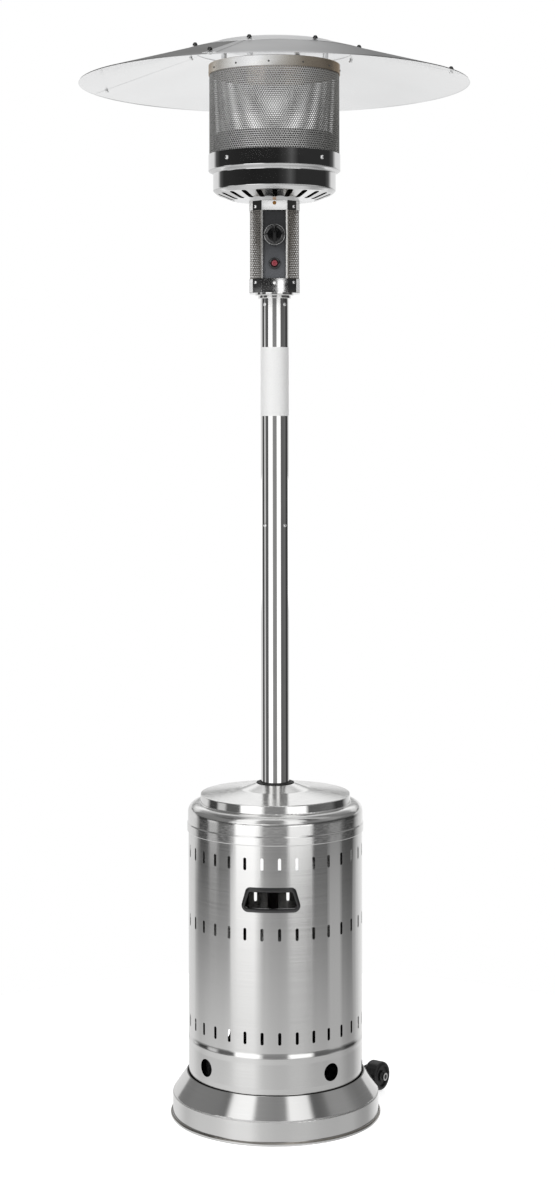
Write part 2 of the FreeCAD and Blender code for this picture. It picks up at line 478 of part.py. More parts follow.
# ---- gas valve, stem, knob, igniter
b = body("gas_valve")
raised(b, "block", [[(-18, -36, 4), (18, -36, 4), (18, 26, 4), (-18, 26, 4)]], 50, offset="knob_z - 25")
raised(b, "outlet", [], 10, offset="knob_z + 25", holes=[(0, 0, 9)])
cut(b, "stem", [], 20, plane="XZ_Plane", offset=36, holes=[(0, "knob_z", "stem_r + 0.5")])
b = body("valve_inlet")
raised(b, "hex", [], 10, offset="knob_z - 35", holes=[(0, 15, 10)])
raised(b, "thread", [], 18, offset="knob_z - 53", holes=[(0, 15, 7.9)])
b = body("gas_outlet")
raised(b, "tube", [], 50, offset="knob_z + 35", holes=[(0, 0, 6)])
raised(b, "jet", [], 10, offset="knob_z + 85", holes=[(0, 0, 8)])

b = body("valve_stem")
raised(b, "rod", [], 36, plane="XZ_Plane", offset=28, holes=[(0, "knob_z", "stem_r")])
b = body("stem_collar")
raised(b, "washer", [], 1.5, plane="XZ_Plane", offset=43.5, holes=[(0, "knob_z", 9), (0, "knob_z", "stem_r + 0.4")])

b = body("control_knob")
turned(b, "skirt", [("stem_r + 0.03", 0), ("knob_r", 0), ("knob_r", 4.5, 2), (19, 6, 2), (18, 14, 3), (0, 15), (0, 12), ("stem_r + 0.03", 12)])
raised(b, "bar", [[(-5, -21, 3), (5, -21, 3), (5, 21, 3), (-5, 21, 3)]], 17, offset=4)
cut(b, "bore", [], 12, offset=0, holes=[(0, 0, "stem_r + 0.03")], back=True)
b.Placement = Placement(Vector(0, -52.6, num("knob_z")), Rotation(Vector(1, 0, 0), 90))

b = body("igniter_body")
raised(b, "case", [], 40, plane="XZ_Plane", offset="panel_front - panel_thick - 40.1", holes=[(0, "igniter_z", 9)])
cut(b, "bore", [], 14, plane="XZ_Plane", offset="panel_front - panel_thick - 0.1", holes=[(0, "igniter_z", "button_r + 0.4")])
b = body("igniter_ring")
raised(b, "nut", [], 4.5, plane="XZ_Plane", offset="panel_front + 0.05", holes=[(0, "igniter_z", 12), (0, "igniter_z", "button_r + 0.4")])
b = body("igniter_button")
raised(b, "cap", [], 8.5, plane="XZ_Plane", offset="panel_front + 1.2", holes=[(0, "igniter_z", "button_r")])
raised(b, "shaft", [], 8, plane="XZ_Plane", offset="panel_front - 6.5", holes=[(0, "igniter_z", 5)])
b = body("tilt_switch")
raised(b, "box", [[(-40, 8, 2), (-24, 8, 2), (-24, 28, 2), (-40, 28, 2)]], 24, offset="knob_z - 12")

# ---- burner bowl, mixer, burner, cup, pilot set
b = body("burner_bowl")
turned(b, "skin", [("bowl_hole_r", "bowl_low"), ("bowl_flat_r", "bowl_low", 20), (92, "bowl_low + 4.5", 30), (124, "bowl_low + 17", 8), ("bowl_r", "bowl_wall_low + 1", 5),
                   ("bowl_r", "bowl_wall_top", 3.5), ("band_r", "band_low - 5", 3.5), ("band_r", "band_top"), ("band_r - bowl_skin", "band_top"), ("band_r - bowl_skin", "band_low - 4.4", 2.7),
                   ("bowl_r - bowl_skin", "bowl_wall_top + 0.5", 4.3), ("bowl_r - bowl_skin", "bowl_wall_low + 1.6", 4.2), (123.4, "bowl_low + 17.8", 8.8), (91.8, "bowl_low + 5.4", 30), ("bowl_flat_r", "bowl_low + bowl_skin", 20), ("bowl_hole_r", "bowl_low + bowl_skin")])
f = cut(b, "slots", [[(-6.6, -121.5, 5), (6.6, -121.5, 5), (5.2, -86, 4.5), (-5.2, -86, 4.5)]], 60, offset="bowl_low - 5", back=True)
around(b, f, "bowl_slots")
sk = attach(b, "band_drill", "YZ_Plane")
ring(sk, 0, "band_drill_z", 2.2)
sk.AttachmentOffset = Placement(Vector(0, 0, 0), Rotation(Vector(0, 1, 0), 45))
f = b.newObject("PartDesign::Pocket", "band_drill_cut")
f.Profile = sk
f.Length = 160
f.Reversed = True
doc.recompute()
around(b, f, 4)

b = body("burner_screen")
turned(b, "skin", [("screen_r - screen_skin", "screen_low"), ("screen_r", "screen_low"), ("screen_r", "screen_top"), ("screen_r - screen_skin", "screen_top")])
sk = attach(b, "screen_drill", "YZ_Plane")
ring(sk, 0, "band_drill_z", 2.2)
sk.AttachmentOffset = Placement(Vector(0, 0, 0), Rotation(Vector(0, 1, 0), 45))
f = b.newObject("PartDesign::Pocket", "screen_drill_cut")
f.Profile = sk
f.Length = 160
f.Reversed = True
doc.recompute()
around(b, f, 4)
b = body("bowl_screws", 45.0)
side_screws(b, "ring", "band_r + 0.05", "band_drill_z", "4.2", "2.6", "screw_r", "6", 4)

b = body("screen_top")
turned(b, "cap", [("screen_r + 0.1", "ring_low"), ("ring_r", "ring_low"), ("ring_r", "ring_top", 2), (0, "ring_top"), (0, "ring_top - 1.2"), ("screen_r + 0.1", "ring_top - 1.2", 0.8)])
b = body("mixer_tube")
turned(b, "tube", [(14.5, "bowl_low + 5"), (16, "bowl_low + 5"), (16, 2049), (14.5, 2049)])
turned(b, "foot", [(15, "bowl_low + 5"), (40, "bowl_low + bowl_skin + 0.1"), (40, "bowl_low + bowl_skin + 1.6"), (15, "bowl_low + 7")])
cut(b, "leads", [[(-9, -26), (9, -26), (9, -17), (-9, -17)]], 40, offset=1940, back=True)
b = body("burner_head")
turned(b, "dish", [(0, 2049), (70, 2049), (70, 2066, 6), (0, 2072)])
b = body("burner_cup")
turned(b, "wall", [("cup_r - 0.8", 2022), ("cup_r", 2022), ("cup_r", "cup_top"), ("cup_r - 0.8", "cup_top")])
turned(b, "flange", [("cup_r - 0.4", 2022), (137.5, 2022), (137.5, 2023), ("cup_r - 0.4", 2023)])
for label, turn, rad in (("pilot_burner", -78.0, 2.5), ("thermocouple", -90.0, 1.6), ("electrode", -102.0, 1.2)):
    b = body(label, turn)
    path = attach(b, b.Name + "_path", "XZ_Plane")
    route = [(21, 1908), (21, 1990), (84, 2006), (84, 2078)]
    pins, ends = [Vector(x, z, 0) for x, z in route], []
    for i in (1, 2):
        a = (pins[i - 1] - pins[i]).normalize()
        c = (pins[i + 1] - pins[i]).normalize()
        half = math.acos(a.dot(c)) / 2
        ends.append((pins[i] + a * (10 / math.tan(half)), pins[i] + c * (10 / math.tan(half)), pins[i] + (a + c).normalize() * (10 / math.sin(half)), a, c))
    path.addGeometry(Part.LineSegment(pins[0], ends[0][0]), False)
    for (p, q, mid, a, c), stop in ((ends[0], ends[1][0]), (ends[1], pins[3])):
        onarc = mid + ((p - mid) + (q - mid)).normalize() * 10
        path.addGeometry(Part.Arc(p, onarc, q), False)
        path.addGeometry(Part.LineSegment(q, stop), False)
    prof = attach(b, b.Name + "_profile", "XY_Plane", 1908)
    ring(prof, 21, 0, rad)
    doc.recompute()
    f = b.newObject("PartDesign::AdditivePipe", b.Name + "_pipe")
    f.Profile = prof
    f.Spine = (path, ["Edge%d" % (i + 1) for i in range(path.GeometryCount)])
    doc.recompute()

# ---- reflector: four overlapping panels, centre cap, studs and nuts; seams at -18 degrees and every quarter
K = "(cone_in_z - rim_z) / (rim_r - cone_in_r)"


def sheet_section(lift, r_in, lip):
    z_in = "rim_z + (rim_r - (%s)) * (%s) + %s" % (r_in, K, lift)
    z_in_low = z_in + " - sheet_skin"
    top = [(r_in, z_in), ("rim_r - 1.5", "rim_z + 0.45 + " + lift, 2)]
    low = [("rim_r - 2.1", "rim_z + 0.45 - sheet_skin + " + lift, 1.2), (r_in, z_in_low)]
    if lip:
        return top + [("rim_r", "rim_low"), ("rim_r - 0.8", "rim_low")] + low
    return [(r_in, z_in), ("rim_r - 6", "rim_z + 6 * (%s) + %s" % (K, lift)), ("rim_r - 6", "rim_z + 6 * (%s) + %s - sheet_skin" % (K, lift)), (r_in, z_in_low)]


def spot(r, degrees):
    a = math.radians(degrees)
    return "(%s) * %.9f" % (r, math.cos(a)), "(%s) * %.9f" % (r, math.sin(a))


for k in range(4):
    b = body("reflector_panel_%d" % (k + 1), -108.0 + 90.0 * k)
    turned(b, "sheet", sheet_section("0", "cone_in_r", True), angle=89.75)
    turned(b, "lap", sheet_section("sheet_skin + 0.1", "210", False), angle=4, mid=True)
    spots = [spot("cap_nut_ring", 2), spot("cap_nut_ring", 45), spot("seam_nut_ring", -1), spot("seam_nut_ring", 89)]
    cut(b, "holes", [], 200, offset=2150, back=True, holes=[(x, y, "screw_hole_r") for x, y in spots])

b = body("reflector_cap", -108.0)
CAPZ = "rim_z + (rim_r - (%s)) * (" + K + ") + 0.1"
turned(b, "hat", [("cap_brim_r", CAPZ % "cap_brim_r"), ("cap_brim_r", (CAPZ % "cap_brim_r") + " + sheet_skin"), ("cap_crown_r + 4", (CAPZ % "cap_crown_r + 4") + " + sheet_skin", 1), ("cap_crown_r", "cap_edge_z", 3),
                  (0, "cap_mid_z"), (0, "cap_mid_z - sheet_skin"), ("cap_crown_r - 0.8", "cap_edge_z - sheet_skin", 2.4), ("cap_crown_r + 3", CAPZ % "cap_crown_r + 3", 1)])
cut(b, "holes", [], 200, offset=2150, back=True, holes=[(x, y, "screw_hole_r") for k in range(4) for x, y in (spot("cap_nut_ring", 2 + 90 * k), spot("cap_nut_ring", 45 + 90 * k))]
    + [(x, y, "stud_r + 0.3") for k in range(4) for x, y in (spot("stud_ring", 83 + 90 * k),)])

ZCAP = "rim_z + (rim_r - cap_nut_ring) * (%s) + 0.1 + sheet_skin" % K
ZSEAM = "rim_z + (rim_r - seam_nut_ring) * (%s) + sheet_skin" % K
for label, ring_r, base_z, angles in (("cap_nuts", "cap_nut_ring", ZCAP, (2, 45)), ("seam_nuts", "seam_nut_ring", ZSEAM, (-1,))):
    b = body(label, -108.0)
    for j, ang in enumerate(angles):
        # a cap nut above the sheet, its screw through it and the head below
        r = "(%s)" % ring_r
        z = "(%s)" % base_z
        f = turned(b, "n%d" % j, [(r, z + " - 6.5"), (r, z + " + 9"), (r + " + 3", z + " + 8"), (r + " + 5.2", z + " + 4.5"), (r + " + 5.2", z + " + 1.8"), (r + " + screw_r", z + " + 1.8"),
                                  (r + " + screw_r", z + " - 4"), (r + " + 4.4", z + " - 4"), (r + " + 3.4", z + " - 6.5")], edge="Edge1")
        sk = f.Profile[0]
        sk.AttachmentOffset = Placement(Vector(0, 0, 0), Rotation(Vector(0, 1, 0), ang))
        doc.recompute()
        around(b, f, 4)

b = body("reflector_studs", -25.0)
up_bolts(b, "stud", "stud_ring", "ring_top", "cap_edge_z - 1", "2.9", "1.3", "stud_r", 4, "6", "38.6", "cap_edge_z - 1.1")
b = body("stud_nuts", -25.0)
f = turned(b, "nut", [("stud_ring", "cap_edge_z + 0.5"), ("stud_ring", "cap_edge_z + 3.4"), ("stud_ring + 3", "cap_edge_z + 3.2"), ("stud_ring + 6.5", "cap_edge_z + 1.8"), ("stud_ring + 6.5", "cap_edge_z + 0.5")], edge="Edge1")
around(b, f, 4)

doc.recompute()
for o in doc.Objects:
    if "Invalid" in o.State or "Error" in o.State:
        raise RuntimeError("bad object: " + o.Label + " " + str(o.State))
for o in NODES:
    s = o.Shape
    if s.isNull() or not s.isValid() or not s.Solids:
        raise RuntimeError("bad shape: " + o.Label)
    s.exportStep("parts/%s.step" % o.Label)
    print("%-20s solids %2d  volume %10.0f  z %.1f..%.1f  x %.1f..%.1f  y %.1f..%.1f" % (o.Label, len(s.Solids), s.Volume, s.BoundBox.ZMin, s.BoundBox.ZMax, s.BoundBox.XMin, s.BoundBox.XMax, s.BoundBox.YMin, s.BoundBox.YMax))
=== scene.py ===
import bmesh, bpy, math
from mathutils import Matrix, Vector


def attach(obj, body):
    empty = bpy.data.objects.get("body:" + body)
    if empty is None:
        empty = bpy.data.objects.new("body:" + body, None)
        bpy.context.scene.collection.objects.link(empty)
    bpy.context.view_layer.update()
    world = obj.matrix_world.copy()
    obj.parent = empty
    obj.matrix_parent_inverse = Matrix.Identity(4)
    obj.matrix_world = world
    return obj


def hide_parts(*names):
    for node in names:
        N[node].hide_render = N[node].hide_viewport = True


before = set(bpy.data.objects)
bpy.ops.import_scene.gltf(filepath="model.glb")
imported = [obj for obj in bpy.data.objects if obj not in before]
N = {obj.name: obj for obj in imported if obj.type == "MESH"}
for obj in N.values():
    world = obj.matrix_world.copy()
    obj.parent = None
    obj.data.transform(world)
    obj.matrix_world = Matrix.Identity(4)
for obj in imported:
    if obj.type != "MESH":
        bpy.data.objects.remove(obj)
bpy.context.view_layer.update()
scene = bpy.context.scene


# ------------------------------------------------------------------ materials
def material(name, base, metallic, rough, spec=0.5, aniso=0.0, radial=False, coat=0.0, coat_rough=0.1,
             grain=(1.0, 1.0, 1.0), grain_scale=60.0, tint=0.04, rough_spread=0.06, bump=0.0, turn=0.0):
    """A surface with a fine grain: the colour and the roughness vary a little along it."""
    m = bpy.data.materials.new(name)
    m.use_nodes = True
    t = m.node_tree
    p = t.nodes["Principled BSDF"]
    p.inputs["Metallic"].default_value = metallic
    p.inputs["Specular IOR Level"].default_value = spec
    p.inputs["Anisotropic"].default_value = aniso
    p.inputs["Anisotropic Rotation"].default_value = turn
    p.inputs["Coat Weight"].default_value = coat
    p.inputs["Coat Roughness"].default_value = coat_rough
    co = t.nodes.new("ShaderNodeTexCoord")
    mp = t.nodes.new("ShaderNodeMapping")
    mp.inputs["Scale"].default_value = grain
    t.links.new(co.outputs["Object"], mp.inputs["Vector"])
    nz = t.nodes.new("ShaderNodeTexNoise")
    nz.inputs["Scale"].default_value = grain_scale
    nz.inputs["Detail"].default_value = 4.0
    t.links.new(mp.outputs["Vector"], nz.inputs["Vector"])
    cr = t.nodes.new("ShaderNodeValToRGB")
    lo = [max(0.0, c * (1 - tint)) for c in base]
    hi = [min(1.0, c * (1 + tint)) for c in base]
    cr.color_ramp.elements[0].position = 0.3
    cr.color_ramp.elements[0].color = (*lo, 1)
    cr.color_ramp.elements[1].position = 0.7
    cr.color_ramp.elements[1].color = (*hi, 1)
    t.links.new(nz.outputs["Fac"], cr.inputs["Fac"])
    t.links.new(cr.outputs["Color"], p.inputs["Base Color"])
    rr = t.nodes.new("ShaderNodeMapRange")
    rr.inputs["From Min"].default_value = 0.3
    rr.inputs["From Max"].default_value = 0.7
    rr.inputs["To Min"].default_value = max(0.02, rough - rough_spread)
    rr.inputs["To Max"].default_value = rough + rough_spread
    t.links.new(nz.outputs["Fac"], rr.inputs["Value"])
    t.links.new(rr.outputs["Result"], p.inputs["Roughness"])
    if radial:
        tg = t.nodes.new("ShaderNodeTangent")
        tg.direction_type = "RADIAL"
        tg.axis = "Z"
        t.links.new(tg.outputs["Tangent"], p.inputs["Tangent"])
    if bump:
        bp = t.nodes.new("ShaderNodeBump")
        bp.inputs["Strength"].default_value = bump
        bp.inputs["Distance"].default_value = 0.0005
        t.links.new(nz.outputs["Fac"], bp.inputs["Height"])
        t.links.new(bp.outputs["Normal"], p.inputs["Normal"])
    return m


BRUSHED = material("brushed_stainless", (0.71, 0.707, 0.70), 1.0, 0.12, aniso=0.6, radial=True, turn=0.25, grain=(0.15, 0.15, 40.0), grain_scale=22.0, tint=0.022, rough_spread=0.018)
KNEE = material("brushed_stainless_edge", (0.74, 0.737, 0.73), 1.0, 0.46, grain=(1, 1, 1), grain_scale=22.0, tint=0.03, rough_spread=0.04)
LID = material("brushed_lid", (0.74, 0.737, 0.73), 1.0, 0.12, aniso=0.7, radial=True, turn=0.25, grain=(6.0, 6.0, 30.0), grain_scale=14.0, tint=0.03, rough_spread=0.05)
LID_TOP_LIT = material("brushed_lid_top_painted_light", (0.90, 0.898, 0.89), 1.0, 0.2, aniso=0.3, radial=True, turn=0.25, grain=(6.0, 6.0, 30.0), grain_scale=14.0, tint=0.03, rough_spread=0.05)
POLE = material("polished_tube", (0.77, 0.767, 0.76), 1.0, 0.055, aniso=0.4, radial=True, turn=0.25, grain=(3.0, 3.0, 1.2), grain_scale=26.0, tint=0.03, rough_spread=0.02)
CHROME = material("polished_stainless", (0.80, 0.80, 0.80), 1.0, 0.06, grain=(1, 1, 4), grain_scale=18.0, tint=0.03, rough_spread=0.03)
MIRROR = material("mirror_stainless", (0.80, 0.80, 0.80), 1.0, 0.035, grain=(1, 1, 4), grain_scale=18.0, tint=0.03, rough_spread=0.012)
MIRROR_LOW = material("mirror_stainless_low", (0.60, 0.60, 0.60), 1.0, 0.2, grain=(1, 1, 4), grain_scale=18.0, tint=0.04, rough_spread=0.02)
ALU = material("polished_aluminium", (0.85, 0.853, 0.855), 1.0, 0.2, grain=(1, 1, 1), grain_scale=9.0, tint=0.025, rough_spread=0.05)
ALU_CAP = material("satin_aluminium", (0.88, 0.885, 0.89), 1.0, 0.32, grain=(1, 1, 1), grain_scale=12.0, tint=0.02, rough_spread=0.04)
MESH = material("heat_screen", (0.64, 0.637, 0.63), 1.0, 0.24, grain=(1, 1, 1), grain_scale=14.0, tint=0.08, rough_spread=0.08)
SCREEN_IN_SHADE = material("heat_screen_inside_painted_shade", (0.09, 0.087, 0.083), 1.0, 0.3, grain=(1, 1, 1), grain_scale=14.0, tint=0.1, rough_spread=0.06)
HEAT_TINT_AND_LIGHT = material("heat_tinted_ring_painted_light", (0.90, 0.885, 0.86), 1.0, 0.17, radial=True, aniso=0.5, turn=0.25, grain=(1, 1, 3), grain_scale=11.0, tint=0.15, rough_spread=0.05)
GUARD = material("guard_sheet", (0.31, 0.294, 0.272), 1.0, 0.3, grain=(1, 1, 1), grain_scale=30.0, tint=0.06, rough_spread=0.06)
GUARD_SIDE_LIT = material("guard_sheet_side_painted_light", (0.74, 0.72, 0.69), 1.0, 0.42, grain=(1, 1, 1), grain_scale=30.0, tint=0.06, rough_spread=0.06)
BLACK = material("black_plastic", (0.014, 0.014, 0.0145), 0.0, 0.3, spec=0.5, coat=0.25, coat_rough=0.12, grain_scale=900.0, tint=0.2, rough_spread=0.06, bump=0.03)
GLOSS = material("gloss_black", (0.005, 0.005, 0.0053), 0.0, 0.06, spec=0.75, coat=0.3, coat_rough=0.03, grain_scale=300.0, tint=0.2, rough_spread=0.015)
PANEL = material("panel_black", (0.040, 0.0415, 0.045), 0.0, 0.32, spec=0.5, grain_scale=700.0, tint=0.15, rough_spread=0.06, bump=0.03)
RED = material("red_button", (0.25, 0.030, 0.045), 0.0, 0.2, spec=0.5, coat=0.5, coat_rough=0.06, grain_scale=400.0, tint=0.1, rough_spread=0.04)
RUBBER = material("black_rubber", (0.016, 0.016, 0.016), 0.0, 0.6, spec=0.35, grain_scale=500.0, tint=0.2, rough_spread=0.08, bump=0.06)
WHEEL = material("wheel_plastic", (0.009, 0.009, 0.0095), 0.0, 0.32, spec=0.5, grain_scale=500.0, tint=0.2, rough_spread=0.08, bump=0.04)
COATED = material("coated_steel", (0.03, 0.03, 0.031), 0.0, 0.45, spec=0.4, grain_scale=300.0, tint=0.15, rough_spread=0.08)
NUT = material("dark_nut", (0.09, 0.09, 0.09), 1.0, 0.14, grain_scale=300.0, tint=0.1, rough_spread=0.06)
BRASS = material("brass", (0.55, 0.27, 0.08), 1.0, 0.28, grain_scale=200.0, tint=0.08, rough_spread=0.06)
LABEL = material("label_film", (0.83, 0.83, 0.825), 0.0, 0.4, spec=0.4, grain_scale=300.0, tint=0.02, rough_spread=0.05)
EDGE_LIT = material("guard_edge_painted_light", (0.95, 0.94, 0.92), 1.0, 0.5, grain=(1, 1, 1), grain_scale=30.0, tint=0.03, rough_spread=0.05)
TOPSIDE = material("brushed_aluminium", (0.64, 0.642, 0.645), 1.0, 0.4, grain=(1, 1, 1), grain_scale=9.0, tint=0.04, rough_spread=0.05)
TOPSIDE_SHADED = material("brushed_aluminium_painted_shade", (0.50, 0.502, 0.506), 1.0, 0.42, grain=(1, 1, 1), grain_scale=9.0, tint=0.04, rough_spread=0.05)
CORNER_HIGHLIGHT = material("painted_highlight_corner", (0.93, 0.93, 0.925), 0.3, 0.4, grain=(1, 1, 1), grain_scale=20.0, tint=0.03, rough_spread=0.05)
# dark finish: real soot inside the bowl and on the burner cup, painted shade in the base recess and inside the control
# guard
SOOT_AND_SHADE = material("dark_inside", (0.07, 0.067, 0.063), 1.0, 0.5, grain_scale=30.0, tint=0.2, rough_spread=0.1)
CERAMIC = material("white_ceramic", (0.8, 0.79, 0.76), 0.0, 0.4, grain_scale=200.0, tint=0.03, rough_spread=0.05)

GLOSS.node_tree.nodes["Principled BSDF"].inputs["Coat IOR"].default_value = 1.7

# dull metal stays dull at a glancing view; the painted-shade copy of the reflector top is darker at a glance as well
for mat, edge in ((TOPSIDE, (.74, .74, .74)), (TOPSIDE_SHADED, (.40, .395, .385)), (MESH, (.45, .45, .44)), (HEAT_TINT_AND_LIGHT, (.70, .62, .54))):
    mat.node_tree.nodes["Principled BSDF"].inputs["Specular Tint"].default_value = (*edge, 1)


def paint_light_along_x(mat, stops, lo, hi):
    """Light and shade painted into the finish along X, from lo to hi in metres: stops are (place, colour)."""
    t = mat.node_tree
    c = t.nodes.new("ShaderNodeTexCoord")
    x = t.nodes.new("ShaderNodeSeparateXYZ")
    t.links.new(c.outputs["Object"], x.inputs["Vector"])
    m = t.nodes.new("ShaderNodeMapRange")
    m.inputs["From Min"].default_value = lo
    m.inputs["From Max"].default_value = hi
    t.links.new(x.outputs["X"], m.inputs["Value"])
    r = t.nodes.new("ShaderNodeValToRGB")
    e = r.color_ramp.elements
    while len(e) > 1:
        e.remove(e[-1])
    for k, (place, colour) in enumerate(stops):
        s = e[0] if k == 0 else e.new((place - lo) / (hi - lo))
        s.position = (place - lo) / (hi - lo)
        s.color = (*colour, 1)
    t.links.new(m.outputs["Result"], r.inputs["Fac"])
    v = t.nodes.new("ShaderNodeVectorMath")
    v.operation = "MULTIPLY"
    b = t.nodes["Principled BSDF"].inputs["Base Color"]
    t.links.new(b.links[0].from_socket, v.inputs[0])
    t.links.new(r.outputs["Color"], v.inputs[1])
    t.links.new(v.outputs["Vector"], b)


# painted light and shade along X: the heat-tinted ring is painted bright left of its middle and dark to its right, the
# top of the reflector and the screen bright in the middle and darker towards their sides, most to the right, and the
# guard paler on its right
paint_light_along_x(HEAT_TINT_AND_LIGHT, [(-.15, (.58, .56, .53)), (-.115, (.72, .70, .66)), (-.085, (1.1, 1.1, 1.1)), (-.01, (1.1, 1.1, 1.1)), (.03, (.66, .63, .58)), (.065, (.36, .315, .26)), (.15, (.22, .185, .15))], -.15, .15)
paint_light_along_x(TOPSIDE, [(-.42, (.80, .80, .80)), (-.2, (1, 1, 1)), (-.05, (1.25, 1.25, 1.25)), (.05, (1.15, 1.15, 1.15)), (.2, (.52, .52, .52)), (.32, (.58, .58, .58)), (.42, (.70, .70, .70))], -.42, .42)
paint_light_along_x(MESH, [(-.15, (.68, .68, .68)), (-.09, (.94, .94, .94)), (-.03, (.90, .90, .90)), (.06, (.90, .90, .90)), (.10, (.70, .70, .69)), (.15, (.45, .445, .43))], -.15, .15)
paint_light_along_x(GUARD, [(-.06, (1, 1, 1)), (.0, (1, 1, 1)), (.03, (1.35, 1.33, 1.30)), (.06, (1.35, 1.33, 1.30))], -.06, .06)

# painted light and shade: the panel is paler towards its foot and darker towards its top
pt = PANEL.node_tree
pc = pt.nodes.new("ShaderNodeTexCoord")
ps = pt.nodes.new("ShaderNodeSeparateXYZ")
pt.links.new(pc.outputs["Object"], ps.inputs["Vector"])
pr = pt.nodes.new("ShaderNodeMapRange")
pr.inputs["From Min"].default_value = 1.79
pr.inputs["From Max"].default_value = 1.90
pr.inputs["To Min"].default_value = 2.5
pr.inputs["To Max"].default_value = 0.5
pt.links.new(ps.outputs["Z"], pr.inputs["Value"])
pm = pt.nodes.new("ShaderNodeVectorMath")
pm.operation = "SCALE"
pb = pt.nodes["Principled BSDF"].inputs["Base Color"]
pt.links.new(pb.links[0].from_socket, pm.inputs[0])
pt.links.new(pr.outputs["Result"], pm.inputs["Scale"])
pt.links.new(pm.outputs["Vector"], pb)

LOOKS = {
    BRUSHED: "base_cover housing_shell",
    LID: "housing_lid",
    POLE: "pole_lower pole_upper control_collar",
    MIRROR: "burner_bowl control_bottom_cap control_top_cap",
    CHROME: "control_screws bowl_screws pole_screws pole_top_screws axle_nuts",
    NUT: "cap_nuts seam_nuts stud_nuts",
    ALU: "reflector_panel_1 reflector_panel_2 reflector_panel_3 reflector_panel_4",
    ALU_CAP: "reflector_cap reflector_studs",
    MESH: "burner_screen",
    SOOT_AND_SHADE: "burner_cup",
    HEAT_TINT_AND_LIGHT: "screen_top",
    GUARD: "control_guard",
    BLACK: "handle_front handle_rear igniter_ring tilt_switch",
    GLOSS: "control_knob",
    PANEL: "control_panel",
    RED: "igniter_button",
    RUBBER: "pole_grommet",
    WHEEL: "wheel_left wheel_right",
    COATED: "base_plate support_leg_1 support_leg_2 support_leg_3 leg_bolts post_flange pole_coupler wheel_bracket bracket_bolts wheel_axle burner_head mixer_tube gas_outlet pilot_burner thermocouple",
    BRASS: "sight_plug gas_valve valve_inlet valve_stem stem_collar",
    LABEL: "pole_label",
    CERAMIC: "igniter_body electrode",
}
for mat, names in LOOKS.items():
    for n in names.split():
        N[n].data.materials.clear()
        N[n].data.materials.append(mat)


def add(name, verts, faces, mat, body="frame", smooth=True):
    me = bpy.data.meshes.new(name)
    me.from_pydata(verts, [], faces)
    me.materials.append(mat)
    me.validate()
    for p in me.polygons:
        p.use_smooth = smooth
    o = bpy.data.objects.new(name, me)
    scene.collection.objects.link(o)
    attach(o, body)
    return o


def lathe(name, profile, place, mat, body="frame", seg=64):
    """A turned piece: profile is a list of (radius, distance), place(r, angle, d) gives the point."""
    verts, faces, rows = [], [], []
    for r, d in profile:
        if r < 1e-7:
            rows.append([len(verts)])
            verts.append(place(0, 0, d))
        else:
            rows.append(list(range(len(verts), len(verts) + seg)))
            verts += [place(r, 2 * math.pi * k / seg, d) for k in range(seg)]
    for a, b in zip(rows, rows[1:]):
        for k in range(seg):
            q = (a[k % len(a)], a[(k + 1) % len(a)], b[(k + 1) % len(b)], b[k % len(b)])
            q = tuple(dict.fromkeys(q))
            if len(q) > 2:
                faces.append(q)
    return add(name, verts, faces, mat, body, True)


def loft(name, loops, mat, body="frame", torus=False):
    """A skin over matching closed loops, closed on itself or capped at both ends."""
    n = len(loops[0])
    verts = [v for l in loops for v in l]
    faces = []
    pairs = list(zip(range(len(loops)), range(1, len(loops)))) + ([(len(loops) - 1, 0)] if torus else [])
    for a, b in pairs:
        for k in range(n):
            faces.append((a * n + k, a * n + (k + 1) % n, b * n + (k + 1) % n, b * n + k))
    if not torus:
        faces.append(tuple(range(n - 1, -1, -1)))
        faces.append(tuple(range((len(loops) - 1) * n, len(loops) * n)))
    return add(name, verts, faces, mat, body, True)


def rounded(corners, per=8, side=1):
    """A closed outline with rounded corners, its sides cut into equal steps: corners are (x, y, radius)."""
    out, n = [], len(corners)
    for i in range(n):
        p = Vector(corners[i][:2])
        a = (Vector(corners[i - 1][:2]) - p).normalized()
        c = (Vector(corners[(i + 1) % n][:2]) - p).normalized()
        half = math.acos(max(-1, min(1, a.dot(c)))) / 2
        rad = corners[i][2]
        mid = p + (a + c).normalized() * (rad / math.sin(half))
        s0 = p + a * (rad / math.tan(half)) - mid
        s1 = p + c * (rad / math.tan(half)) - mid
        a0, a1 = math.atan2(s0.y, s0.x), math.atan2(s1.y, s1.x)
        turn = (a1 - a0 + math.pi) % (2 * math.pi) - math.pi
        for k in range(per + 1):
            w = a0 + turn * k / per
            out.append((mid.x + rad * math.cos(w), mid.y + rad * math.sin(w)))
    if side > 1:
        full = []
        for i in range(n):
            full += out[i * (per + 1):(i + 1) * (per + 1)]
            a, b = out[(i + 1) * (per + 1) - 1], out[((i + 1) * (per + 1)) % len(out)]
            full += [(a[0] + (b[0] - a[0]) * k / side, a[1] + (b[1] - a[1]) * k / side) for k in range(1, side)]
        out = full
    return out


def outward(o):
    """Face directions made to point out of the piece."""
    bm = bmesh.new()
    bm.from_mesh(o.data)
    bmesh.ops.remove_doubles(bm, verts=bm.verts, dist=1e-7)
    bmesh.ops.recalc_face_normals(bm, faces=bm.faces)
    bm.to_mesh(o.data)
    bm.free()
    return o


# ------------------------------------------------------------------ pieces with a second finish on some of their faces
def skin(node, finishes, pick, body="frame"):
    """A copy of a piece whose faces take one finish each: pick gives the place of the finish in the list."""
    me = N[node].data.copy()
    me.name = node + "_skin"
    me.materials.clear()
    for m in finishes:
        me.materials.append(m)
    for f in me.polygons:
        f.material_index = int(pick(f.center, f.normal))
    o = bpy.data.objects.new(node + "_skin", me)
    scene.collection.objects.link(o)
    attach(o, body)
    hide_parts(node)
    return o


